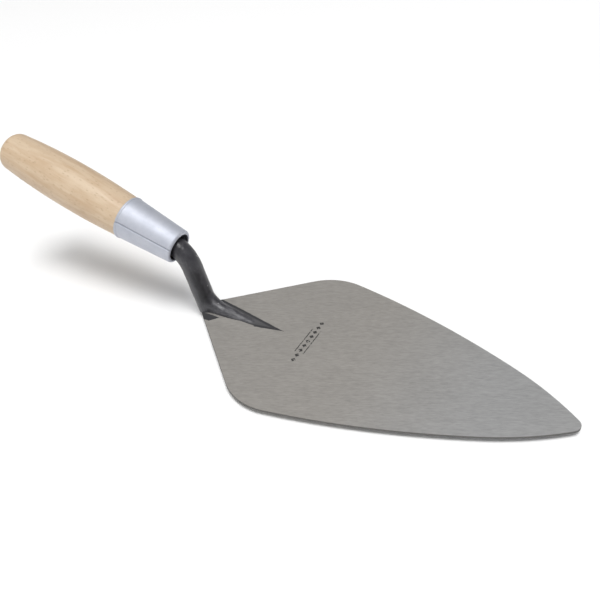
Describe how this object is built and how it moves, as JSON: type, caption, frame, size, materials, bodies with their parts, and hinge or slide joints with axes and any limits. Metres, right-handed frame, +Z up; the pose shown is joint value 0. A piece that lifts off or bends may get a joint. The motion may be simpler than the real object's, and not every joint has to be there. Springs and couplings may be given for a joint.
{
  "type": "brick trowel",
  "caption": "Pointed brick trowel with a flat ground steel blade, a cranked forged shank, a tapered plated ferrule and a turned beech handle.",
  "frame": {"origin": "on the underside of the blade, below the middle of the shank's foot, at the heel end", "axes": "+X along the blade's centre line to its toe, +Z up out of the blade's upper face, +Y to the left of someone looking from the handle to the toe; the XZ plane is the plane of symmetry"},
  "size_m": [0.3609, 0.1164, 0.0947],
  "materials": {
    "ground_steel": "finely ground satin steel with dark edges and dark paint left in a point round the tongue",
    "dark_paint": "charcoal semi-matt stoving paint over forged steel",
    "zinc_plate": "bright zinc plate, slightly bluish satin",
    "beech": "pale turned beech, lightly varnished, short dark flecks along the grain"
  },
  "bodies": {
    "root": {"blade": "ground_steel", "shank": "dark_paint", "ferrule": "zinc_plate", "handle": "beech"}
  },
  "joints": []
}
